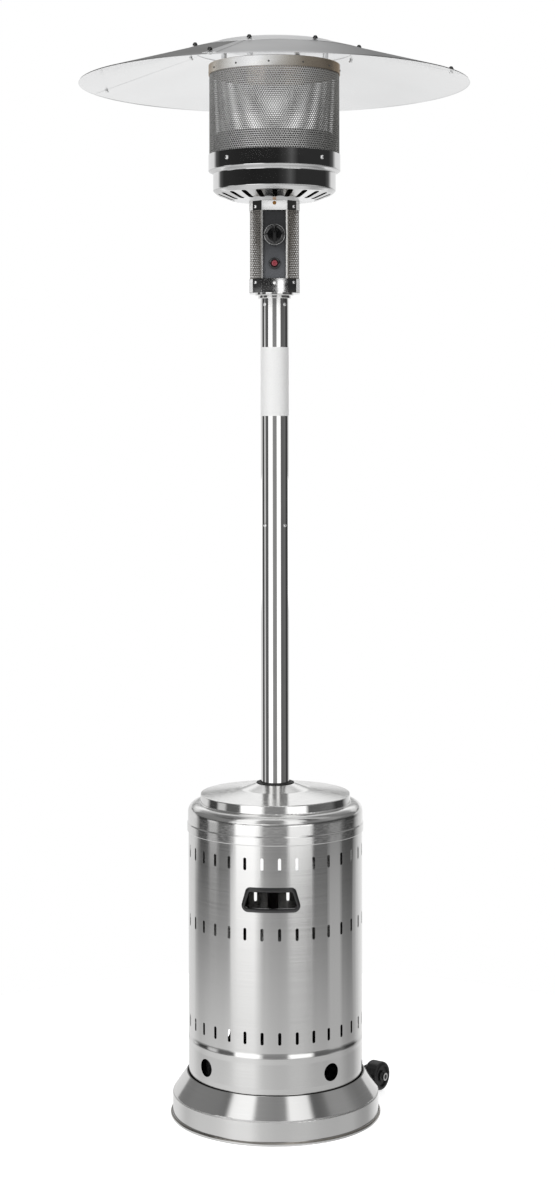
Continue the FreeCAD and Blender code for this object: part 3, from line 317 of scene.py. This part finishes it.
def inside_bowl(c, n):
    r = math.hypot(c.x, c.y)
    if r > 1e-6 and (n.x * c.x + n.y * c.y) / r - 0.6 * n.z < -0.05:
        return 1
    if n.z < -0.97:
        return 2
    return 3 if n.z < -0.25 else 0


def in_recess(c, n):
    r = math.hypot(c.x, c.y)
    # the recess round the housing: painted shade in the gap
    if c.z > 0.083 and r < 0.1885 and (c.z < 0.0915 or r < 0.1881):
        return 1
    # the top of the foot bead: a painted shade line along the floor
    if c.z < 0.012 and 0.1 < n.z < 0.97:
        return 3
    return 2 if c.z > 0.02 and 0.04 < n.z < 0.42 else 0


# the bowl is polished outside and sooty inside, satin on its flat bottom and darker and rougher on its other downward
# faces; the recess of the base that takes the housing is painted dark as the shade in the gap, its knee is rougher, and
# the top of its foot bead takes the dark guard finish as a painted shade line along the floor
skin("burner_bowl", (MIRROR, SOOT_AND_SHADE, ALU_CAP, MIRROR_LOW), inside_bowl)
skin("base_cover", (BRUSHED, SOOT_AND_SHADE, KNEE, GUARD), in_recess)
# the lid's upward faces take a paler copy of its brushed finish: painted light on the top
skin("housing_lid", (LID, LID_TOP_LIT), lambda c, n: n.z > 0.7, "housing")
# the front faces of the screws in the middle of the control caps take the bright corner finish: a painted highlight
def on_cap_screw(c, n):
    return abs(c.x) < 0.008 and n.y < -0.3


skin("control_screws", (CHROME, CORNER_HIGHLIGHT), on_cap_screw)


def on_panel(c, n):
    return n.z > 0.2


# the panels are brushed above and bright below, and the top of the fourth panel takes a darker copy as painted shade;
# the nuts are dark and their screws bright
for k in range(1, 5):
    skin("reflector_panel_%d" % k, (ALU, TOPSIDE_SHADED if k == 4 else TOPSIDE), on_panel)
skin("cap_nuts", (NUT, ALU), lambda c, n: c.z < 2.2695)
skin("seam_nuts", (NUT, ALU), lambda c, n: c.z < 2.2115)

# ------------------------------------------------------------------ perforated sheets
def perforated(name, place, length, z0, z1, pitch, rise, hole, mat, thick, closed, plain=()):
    """A sheet with staggered round holes.  place(u, z) gives a point on the sheet and u runs along it."""
    cols = int(round(length / pitch))
    rows = int(round((z1 - z0) / rise))
    du, dz = length / cols, (z1 - z0) / rows
    verts, faces, seen = [], [], {}

    def v(u, z):
        if closed:
            u = u % length
        key = (round(u * 1e6), round(z * 1e6))
        if closed and key[0] == round(length * 1e6):
            key = (0, key[1])
        if key not in seen:
            seen[key] = len(verts)
            verts.append(place(u, z))
        return seen[key]

    for j in range(rows):
        shift = 0.5 * du if j % 2 else 0.0
        zl, zh = z0 + j * dz, z0 + (j + 1) * dz
        zm = (zl + zh) / 2
        for i in range(cols + (0 if closed or j % 2 == 0 else 1)):
            ul, ur = i * du + (shift if closed else 0), (i + 1) * du + (shift if closed else 0)
            if not closed and j % 2:
                ul, ur = max(0.0, (i - 0.5) * du), min(length, (i + 0.5) * du)
            um = (ul + ur) / 2
            solid = ur - ul < 0.9 * du or any(a <= um <= b for a, b in plain)
            rim = [v(ul, zl), v(um, zl), v(ur, zl), v(ur, zm), v(ur, zh), v(um, zh), v(ul, zh), v(ul, zm)]
            if solid:
                faces.append(tuple(dict.fromkeys(rim)))
                continue
            ring = []
            for k in range(8):
                a = math.radians(225 + 45 * k)
                ring.append(v(um + hole * math.cos(a), zm + hole * math.sin(a)))
            for k in range(8):
                faces.append((rim[k], rim[(k + 1) % 8], ring[(k + 1) % 8], ring[k]))
    o = add(name, verts, faces, mat)
    s = o.modifiers.new("thickness", "SOLIDIFY")
    s.thickness = thick
    s.offset = -1
    return o


R = 0.1395
o = perforated("emitter_screen_mesh", lambda u, z: (R * math.sin(u / R), -R * math.cos(u / R), z), 2 * math.pi * R, 2.0509, 2.2219, 0.0053, 0.0045, 0.00182, MESH, 0.0007, True)
# the inner face of the screen takes a near-black copy of the mesh: painted shade inside the screen
o.data.materials.append(SCREEN_IN_SHADE)
o.modifiers["thickness"].material_offset = 1
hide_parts("burner_screen")

H, F, P = 0.0523, 0.028, 0.0477
PATH = [(24e-3, -P), (24e-3, -H), (F, -H), (H, -F), (H, F), (F, H), (-F, H), (-H, F), (-H, -F), (-F, -H), (-24e-3, -H), (-24e-3, -P)]
LEN = [0.0]
for a, b in zip(PATH, PATH[1:]):
    LEN.append(LEN[-1] + math.hypot(b[0] - a[0], b[1] - a[1]))


def on_guard(u, z):
    u = min(max(u, 0.0), LEN[-1])
    for k in range(len(PATH) - 1):
        if u <= LEN[k + 1] + 1e-12:
            f = (u - LEN[k]) / (LEN[k + 1] - LEN[k])
            return (PATH[k][0] + f * (PATH[k + 1][0] - PATH[k][0]), PATH[k][1] + f * (PATH[k + 1][1] - PATH[k][1]), z)


o = perforated("control_guard_mesh", on_guard, LEN[-1], 1.7702, 1.9388, 0.0056, 0.0050, 0.0017, GUARD, 0.0007, False,
               plain=((0, LEN[2] + 0.003), (LEN[-3] - 0.003, LEN[-1])))
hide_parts("control_guard")
# the inside of the guard takes the dark finish as painted shade, and its sides and the outer part of its corners a
# paler copy of the sheet as painted light
for m in (SOOT_AND_SHADE, GUARD_SIDE_LIT, SOOT_AND_SHADE):
    o.data.materials.append(m)
o.modifiers["thickness"].material_offset = 1
for f in o.data.polygons:
    f.material_index = 2 if abs(f.center.x) > 0.0462 and abs(f.center.y) < 0.0345 or abs(f.center.x) > 0.0475 else 0

# rolled edges of the guard beside the panel; the right one is painted bright as the lit edge, the left one takes the
# screen's grey as the shaded edge
for side, sx in (("left", -1), ("right", 1)):
    arc = [(0.026 + 0.0021 * math.cos(math.pi * k / 10), -0.0521 - 0.00125 * math.sin(math.pi * k / 10)) for k in range(11)]
    outward(loft("guard_edge_" + side, [[(sx * x, y, z) for x, y in arc] for z in (1.7845, 1.7855, 1.9277, 1.9287)], EDGE_LIT if sx > 0 else MESH))

# painted highlights: thin bright slabs on the outer corners of the two control caps
verts, faces = [], []
for z0, z1 in ((1.7546, 1.7834), (1.9296, 1.9494)):
    for sx, sy in ((-1, -1), (1, -1), (-1, 1), (1, 1)):
        base = len(verts)
        for z in (z0, z1):
            for x, y, d in ((.0466, .0354, -.0004), (.0526, .0294, -.0004), (.0526, .0294, .0002), (.0466, .0354, .0002)):
                verts.append((sx * (x + d), sy * (y + d), z))
        faces += [tuple(base + i for i in q) for q in ((0, 1, 2, 3), (4, 5, 6, 7), (0, 1, 5, 4), (1, 2, 6, 5), (2, 3, 7, 6), (3, 0, 4, 7))]
outward(add("control_cap_corner_highlights", verts, faces, CORNER_HIGHLIGHT, smooth=False))

# ------------------------------------------------------------------ knob, igniter button and its ring
KZ, IZ = 1.8765, 1.816


def front(cz, y0):
    return lambda r, a, d: (r * math.cos(a), y0 - d, cz + r * math.sin(a))


def mm(*pts):
    return [(a / 1000.0, b / 1000.0) for a, b in pts]


skirt = outward(lathe("control_knob_skirt", mm((4.06, 0), (21.6, 0), (22.5, .3), (22.8, 1.0), (22.8, 3.2), (22.5, 4.2), (21.8, 4.9), (20.6, 5.3), (19.9, 5.6), (19.4, 6.4), (18.6, 12.2), (18.1, 13.6), (17.0, 14.5),
                                                (15.8, 14.82), (15.0, 14.93), (14.2, 14.96), (0, 15.0)), front(KZ, -0.0526), GLOSS, "knob", 96))
outline = rounded([(-.0052, -.0212, .0040), (.0052, -.0212, .0040), (.0046, .0212, .0036), (-.0046, .0212, .0036)], 6)


def bar(level, inset):
    return [(x * (1 - inset / .0052), -0.0526 - level, KZ + z * (1 - inset / .0212)) for x, z in outline]


grip = outward(loft("control_knob_grip", [bar(.0045, 0), bar(.0190, 0), bar(.0202, .00035), bar(.0208, .0011), bar(.0210, .0022)], GLOSS, "knob"))
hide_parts("control_knob")
# a thin chrome bead round the knob's rim, not a part of the knob, stands for the highlight arcs along its rim: a
# painted highlight
bead = outward(lathe("control_knob_highlight_bead", mm(*[(21.7 + .55 * math.cos(2 * math.pi * k / 10), 4.75 + .55 * math.sin(2 * math.pi * k / 10)) for k in range(11)]), front(KZ, -0.0526), CHROME, "knob", 96))
o = outward(lathe("igniter_bezel", mm((6.7, 0.05), (11.6, 0.05), (12.0, .5), (12.0, 2.6), (11.5, 3.7), (10.4, 4.4), (8.6, 4.55), (7.2, 4.3), (6.7, 3.6), (6.65, .05)), front(IZ, -0.0475), GLOSS, "frame", 64))
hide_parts("igniter_ring")
o = outward(lathe("igniter_cap", mm((0, -6.5), (4.6, -6.5), (5.0, -6.1), (5.0, 1.0), (6.2, 1.2), (6.2, 7.9), (5.9, 8.9), (5.1, 9.5), (3.6, 9.75), (0, 9.7)), front(IZ, -0.0475), RED, "igniter", 48))
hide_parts("igniter_button")

# ------------------------------------------------------------------ grips: moulded frames with a rounded ridge, bent round the housing
SHELL = 0.186
OUT = rounded([(-.0652, .4690, .0135), (.0652, .4690, .0135), (.0508, .5206, .0105), (-.0508, .5206, .0105)], 8, 16)
INN = rounded([(-.0556, .4768, .0055), (.0556, .4768, .0055), (.0445, .511, .0045), (-.0445, .511, .0045)], 8, 16)
NECK = rounded([(-.0582, .4718, .0102), (.0582, .4718, .0102), (.0477, .5182, .0087), (-.0477, .5182, .0087)], 8, 16)


def bent(pts, rise, turn):
    a0 = math.radians(turn)
    res = []
    for x, z in pts:
        r = SHELL + rise
        y = math.sqrt(r * r - x * x)
        res.append((x * math.cos(a0) + y * math.sin(a0), x * math.sin(a0) - y * math.cos(a0), z))
    return res


def between(f):
    return [(a[0] + (b[0] - a[0]) * f, a[1] + (b[1] - a[1]) * f) for a, b in zip(INN, OUT)]


for node, turn in (("handle_front", -3.0), ("handle_rear", 177.0)):
    rings = [bent(INN, -.007, turn), bent(INN, .0010, turn), bent(between(.04), .0024, turn), bent(between(.13), .0034, turn), bent(between(.27), .0041, turn), bent(between(.42), .0043, turn),
             bent(between(.56), .0040, turn), bent(between(.66), .0031, turn), bent(between(.73), .0025, turn), bent(between(.84), .0022, turn), bent(between(.93), .0018, turn), bent(between(.985), .0011, turn), bent(OUT, .00015, turn),
             bent(NECK, .00015, turn), bent(NECK, -.007, turn)]
    o = outward(loft(node + "_moulding", rings, BLACK, "housing", torus=True))
    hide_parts(node)

# a narrow dark strip along the rear leg that hides the middle back slot
outward(add("rear_leg_dark_strip", [(-.0130, .1600, .02), (-.0082, .1600, .02), (-.0082, .1620, .02), (-.0130, .1620, .02), (-.0130, .1600, .555), (-.0082, .1600, .555), (-.0082, .1620, .555), (-.0130, .1620, .555)],
            [(0, 1, 2, 3), (4, 5, 6, 7), (0, 1, 5, 4), (1, 2, 6, 5), (2, 3, 7, 6), (3, 0, 4, 7)], COATED, smooth=False))

# ------------------------------------------------------------------ small rivets round the ring at the top of the screen
verts, faces = [], []
for k in range(12):
    a0 = math.radians(-4.7 + 30 * k)
    n = Vector((math.sin(a0), -math.cos(a0), 0))
    u = Vector((math.cos(a0), math.sin(a0), 0))
    base = len(verts)
    for rr, h in ((.0021, -.0002), (.0021, .0003), (.0015, .0010), (.0007, .00125)):
        verts += [tuple(n * (.1412 + h) + u * (rr * math.cos(2 * math.pi * q / 12)) + Vector((0, 0, 2.2305 + rr * math.sin(2 * math.pi * q / 12)))) for q in range(12)]
    for lv in range(3):
        for q in range(12):
            faces.append((base + lv * 12 + q, base + lv * 12 + (q + 1) % 12, base + (lv + 1) * 12 + (q + 1) % 12, base + (lv + 1) * 12 + q))
    faces.append(tuple(base + 36 + q for q in range(12)))
    faces.append(tuple(base + 11 - q for q in range(12)))
outward(add("ring_rivets", verts, faces, NUT))

# softened edges on turned and cut steel
for node, width in (("wheel_left", .0006), ("wheel_right", .0006), ("control_bottom_cap", .0005), ("control_top_cap", .0005), ("pole_grommet", .0003)):
    m = N[node].modifiers.new("soft_edge", "BEVEL")
    m.width, m.segments, m.limit_method, m.angle_limit = width, 2, "ANGLE", math.radians(50)
    m.harden_normals = False

# ------------------------------------------------------------------ studio
def band(ramp, stops):
    e = ramp.elements
    while len(e) > 1:
        e.remove(e[-1])
    for k, (az, val) in enumerate(stops):
        x = e[0] if k == 0 else e.new((az + 180.0) / 360.0)
        x.position = (az + 180.0) / 360.0
        c = val / 2.0
        x.color = (c, c, c, 1)


w = bpy.data.worlds.new("studio")
scene.world = w
w.use_nodes = True
t = w.node_tree
t.nodes.clear()
out = t.nodes.new("ShaderNodeOutputWorld")
co = t.nodes.new("ShaderNodeTexCoord")
sep = t.nodes.new("ShaderNodeSeparateXYZ")
t.links.new(co.outputs["Generated"], sep.inputs["Vector"])


def math_node(op, a, b=None):
    n = t.nodes.new("ShaderNodeMath")
    n.operation = op
    for k, v in enumerate((a, b)):
        if v is None:
            continue
        if isinstance(v, (int, float)):
            n.inputs[k].default_value = v
        else:
            t.links.new(v, n.inputs[k])
    return n.outputs["Value"]


# azimuth seen from the heater: 0 is the front, positive to the right
back = math_node("MULTIPLY", sep.outputs["Y"], -1.0)
az = math_node("ARCTAN2", sep.outputs["X"], back)
fac = math_node("ADD", math_node("MULTIPLY", az, 0.5 / math.pi), 0.5)
def layer(stops):
    n = t.nodes.new("ShaderNodeValToRGB")
    t.links.new(fac, n.inputs["Fac"])
    band(n.color_ramp, stops)
    return n.outputs["Color"]


el = math_node("ARCSINE", sep.outputs["Z"])


def over(a, b, lo, hi):
    """Layer a below the elevation lo, layer b above hi, in degrees."""
    r = t.nodes.new("ShaderNodeMapRange")
    r.interpolation_type = "SMOOTHSTEP"
    r.inputs["From Min"].default_value = math.radians(lo)
    r.inputs["From Max"].default_value = math.radians(hi)
    t.links.new(el, r.inputs["Value"])
    m = t.nodes.new("ShaderNodeMix")
    m.data_type = "RGBA"
    t.links.new(r.outputs["Result"], m.inputs["Factor"])
    t.links.new(a, m.inputs[6])
    t.links.new(b, m.inputs[7])
    return m.outputs[2]


# two tall strip lights beside the camera, dark flags at the sides, a pale backdrop behind, soft light from the floor
GROUND = layer([(-180, .95), (180, .95)])
LOW3 = layer([(-180, .9), (-165, .82), (-140, .84), (-118, .66), (-100, .76), (-75, .80), (-58, .88), (-46, .98), (-30, .98), (-16, .76), (0, .68), (20, .66), (34, .66), (50, .60), (75, .57), (95, .56), (112, .42), (125, .45), (145, .8), (165, .98), (180, .9)])
LOW2 = layer([(-180, .88), (-165, .8), (-140, .78), (-124, .14), (-100, .07), (-80, .09), (-64, .18), (-56, 1.15), (-28, 1.3), (-20, .44), (-5, .25), (5, .22), (16, .28), (22, .42), (36, .38), (44, .10), (70, .08), (78, .5), (92, .52), (100, .10), (122, .10), (136, .7), (165, .96), (180, .88)])
LOW1 = layer([(-180, .88), (-165, .8), (-128, .85), (-117, .06), (-101, .06), (-95, .72), (-84, .72), (-78, .13), (-56, .13), (-52, 1.6), (-22, 1.6), (-15, .30), (8, .28), (14, .32), (19, 1.6), (46, 1.5), (52, .13), (95, .17), (105, .05), (124, .05), (142, .75), (165, .96), (180, .88)])
MID = layer([(-180, .85), (-132, .8), (-122, .1), (-110, .03), (-40, .017), (6, .02), (20, .045), (30, .10), (42, .03), (110, .03), (122, .1), (134, .8), (180, .85)])
HIGH0 = layer([(-180, .27), (-160, .25), (-142, .24), (-112, .22), (-66, .22), (-58, .9), (-50, 1.4), (-14, 1.4), (-7, .8), (4, .5), (12, .5), (18, .6), (34, .5), (42, .16), (52, .10), (98, .12), (112, .2), (142, .24), (160, .25), (180, .27)])
HIGH1 = layer([(-180, .62), (-160, .56), (-142, .3), (-128, .24), (-112, .25), (-84, .24), (-66, .24), (-58, .9), (-50, 1.25), (-30, 1.25), (-23, .5), (-12, .26), (6, .26), (12, .6), (18, 1.25), (34, 1.2), (40, .35), (52, .24), (72, .26), (84, .34), (98, .34), (112, .22), (128, .2), (142, .25), (160, .55), (180, .62)])
HIGH2 = layer([(-180, .85), (-160, .8), (-142, .3), (-128, .14), (-112, .14), (-70, .14), (-64, 1.25), (-34, 1.3), (-28, .36), (0, .29), (14, .30), (21, 1.2), (48, 1.1), (54, .13), (72, .12), (80, .50), (96, .50), (104, .2), (124, .16), (142, .3), (160, .8), (180, .85)])
TOP = layer([(-180, .7), (180, .7)])
sky = over(GROUND, LOW3, -62, -48)
sky = over(sky, LOW2, -17.0, -11.6)
sky = over(sky, LOW1, -11.9, -11.0)
sky = over(sky, MID, 3.12, 3.3)
sky = over(sky, HIGH0, 7.9, 9.0)
sky = over(sky, HIGH1, 17, 20.5)
sky = over(sky, HIGH2, 38, 45)
sky = over(sky, TOP, 62, 74)
studio = t.nodes.new("ShaderNodeBackground")
studio.inputs["Strength"].default_value = 2.0
t.links.new(sky, studio.inputs["Color"])
white = t.nodes.new("ShaderNodeBackground")
white.inputs["Color"].default_value = (1, 1, 1, 1)
white.inputs["Strength"].default_value = 1.0
lp = t.nodes.new("ShaderNodeLightPath")
ms = t.nodes.new("ShaderNodeMixShader")
t.links.new(lp.outputs["Is Camera Ray"], ms.inputs["Fac"])
t.links.new(studio.outputs["Background"], ms.inputs[1])
t.links.new(white.outputs["Background"], ms.inputs[2])
t.links.new(ms.outputs["Shader"], out.inputs["Surface"])


def area(name, loc, target, sx, sy, power):
    l = bpy.data.lights.new(name, "AREA")
    l.shape = "RECTANGLE"
    l.size, l.size_y, l.energy = sx, sy, power
    o = bpy.data.objects.new(name, l)
    scene.collection.objects.link(o)
    o.location = loc
    o.rotation_euler = (Vector(target) - Vector(loc)).to_track_quat("-Z", "Y").to_euler()
    o.visible_glossy = False
    o.visible_camera = False
    return o


area("key", (-2.6, -3.2, 3.7), (0, 0, 1.2), 1.3, 1.3, 62)
area("fill", (2.6, -2.8, 3.6), (0, 0, 1.2), 1.1, 1.1, 34)

# white cards that show only in reflections: one behind the housing, two small ones above the camera
def card(name, loc, target, sx, sy, level):
    o = area(name, loc, target, sx, sy, math.pi * sx * sy * level)
    o.visible_glossy = True
    o.visible_diffuse = False


card("card_back", (0, 1.0, 1.15), (0, 0, 0.9), 2.4, 0.36, 0.42)
card("card_high", (0, -4.05, 2.334), (0, 0, 1.94), 0.115, 0.05, 1.0)
card("card_low", (0.0245, -4.05, 2.0125), (0, 0, 1.77), 0.023, 0.06, 1.9)

# pale floor
fv, ff = [(0, 0, -0.0004)], []
SEG = 96
for k in range(SEG):
    a = 2 * math.pi * k / SEG
    fv.append((1.15 * math.cos(a), 1.15 * math.sin(a), -0.0004))
for k in range(SEG):
    ff.append((0, 1 + k, 1 + (k + 1) % SEG))
me = bpy.data.meshes.new("floor")
me.from_pydata(fv, [], ff)
fm = material("pale_floor", (0.86, 0.86, 0.86), 0.0, 0.6, spec=0.2, grain_scale=6.0, tint=0.01)
ft = fm.node_tree
fp = ft.nodes["Principled BSDF"]
fp.inputs["Emission Color"].default_value = (1, 1, 1, 1)
fc = ft.nodes.new("ShaderNodeTexCoord")
fl = ft.nodes.new("ShaderNodeVectorMath")
fl.operation = "LENGTH"
ft.links.new(fc.outputs["Object"], fl.inputs[0])
fr = ft.nodes.new("ShaderNodeMapRange")
fr.interpolation_type = "SMOOTHSTEP"
fr.inputs["From Min"].default_value = 0.24
fr.inputs["From Max"].default_value = 0.55
fr.inputs["To Min"].default_value = 0.68
fr.inputs["To Max"].default_value = 1.0
ft.links.new(fl.outputs["Value"], fr.inputs["Value"])
ft.links.new(fr.outputs["Result"], fp.inputs["Emission Strength"])
me.materials.append(fm)
floor = bpy.data.objects.new("floor", me)
scene.collection.objects.link(floor)
floor.visible_glossy = False

# ------------------------------------------------------------------ camera at the photograph's place
cam = bpy.data.cameras.new("camera")
cam.sensor_width = 36.0
cam.sensor_fit = "AUTO"
cam.lens = 63.84
cam.shift_x = 0.00229
cam.shift_y = -0.1542
cam.clip_end = 100
co = bpy.data.objects.new("camera", cam)
scene.collection.objects.link(co)
co.location = (0, -4.565, 1.494)
co.rotation_euler = (math.radians(90), math.radians(0.08), 0)
scene.camera = co
scene.view_settings.view_transform = "Standard"
scene.view_settings.look = "None"
